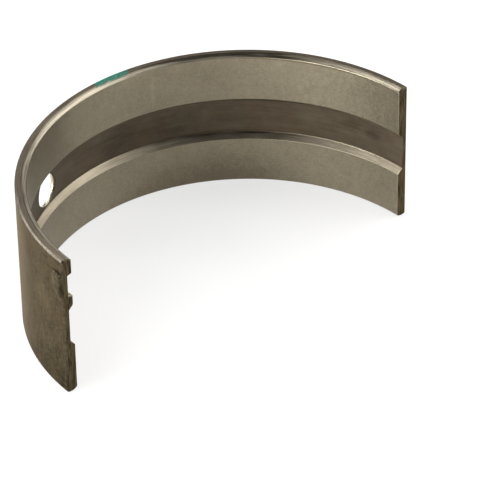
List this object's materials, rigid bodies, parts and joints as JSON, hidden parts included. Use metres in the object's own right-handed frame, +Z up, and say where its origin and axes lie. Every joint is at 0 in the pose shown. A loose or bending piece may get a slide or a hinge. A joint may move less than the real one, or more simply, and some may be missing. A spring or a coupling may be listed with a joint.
{
  "type": "engine bearing shell",
  "caption": "Half shell of a plain journal bearing, with a wide oil groove round the bore, an oil hole, bevelled edges and a locating lug pressed out at its end.",
  "frame": {"origin": "centre of the bore, half way up the width", "axes": "+Z up along the bore axis from one edge face to the other, +Y from the bore axis to the crown of the arc, +X towards the end without the locating lug"},
  "size_m": [0.1721, 0.0834, 0.06],
  "materials": {
    "bearing_shell": "satin, bored on the inside, dull and lightly streaked on the back"
  },
  "bodies": {
    "root": {"bearing_shell": "bearing_shell"}
  },
  "joints": []
}
